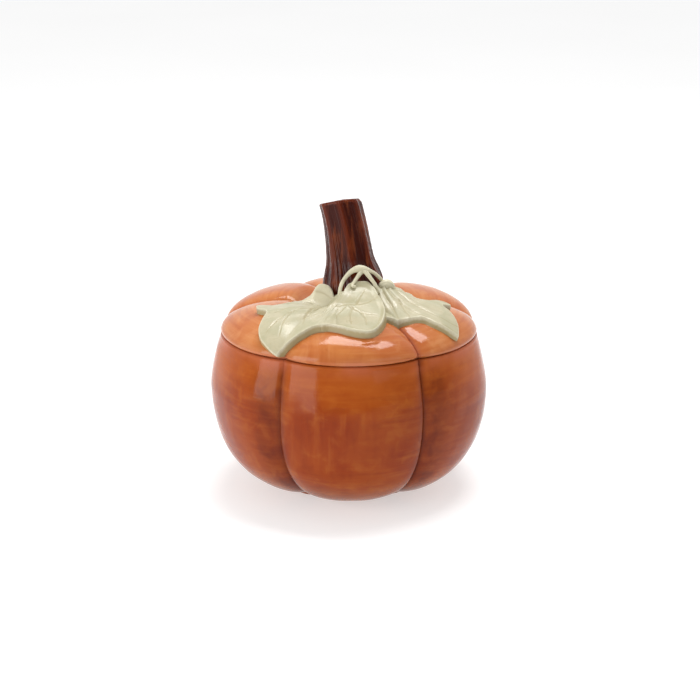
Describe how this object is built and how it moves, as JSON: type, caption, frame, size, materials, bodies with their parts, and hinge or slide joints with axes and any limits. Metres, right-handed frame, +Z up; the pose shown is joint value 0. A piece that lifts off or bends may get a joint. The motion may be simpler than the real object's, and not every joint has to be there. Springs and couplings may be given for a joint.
{
  "type": "lidded pumpkin jar",
  "caption": "Glazed ceramic jar shaped as a lobed pumpkin on a foot ring, with a lift-off domed lid whose stem is the handle, trimmed with leaves and tendrils.",
  "frame": {"origin": "on the surface that the jar stands on, under the middle of the jar", "axes": "+Z up through the jar and the lid's lift, -Y the front, where the leaves lie, +X to its right"},
  "size_m": [0.1788, 0.1816, 0.1916],
  "materials": {
    "body_glaze": "gloss",
    "lid_glaze": "gloss",
    "stem_glaze": "gloss",
    "leaf_glaze": "gloss"
  },
  "bodies": {
    "jar": {"jar_body": "body_glaze"},
    "lid": {"lid_shell": "lid_glaze", "stem_handle": "stem_glaze", "left_leaf": "leaf_glaze", "right_leaf": "leaf_glaze", "front_leaf": "leaf_glaze", "curled_leaf": "leaf_glaze", "leaf_bud": "leaf_glaze", "tendril_arch": "leaf_glaze", "tendril_curl": "leaf_glaze", "tendril_branch": "leaf_glaze"}
  },
  "joints": [
    {"name": "lid_lift", "type": "slide", "parent": "jar", "child": "lid", "axis": [0, 0, 1], "range_m": [0, 0.1]}
  ]
}
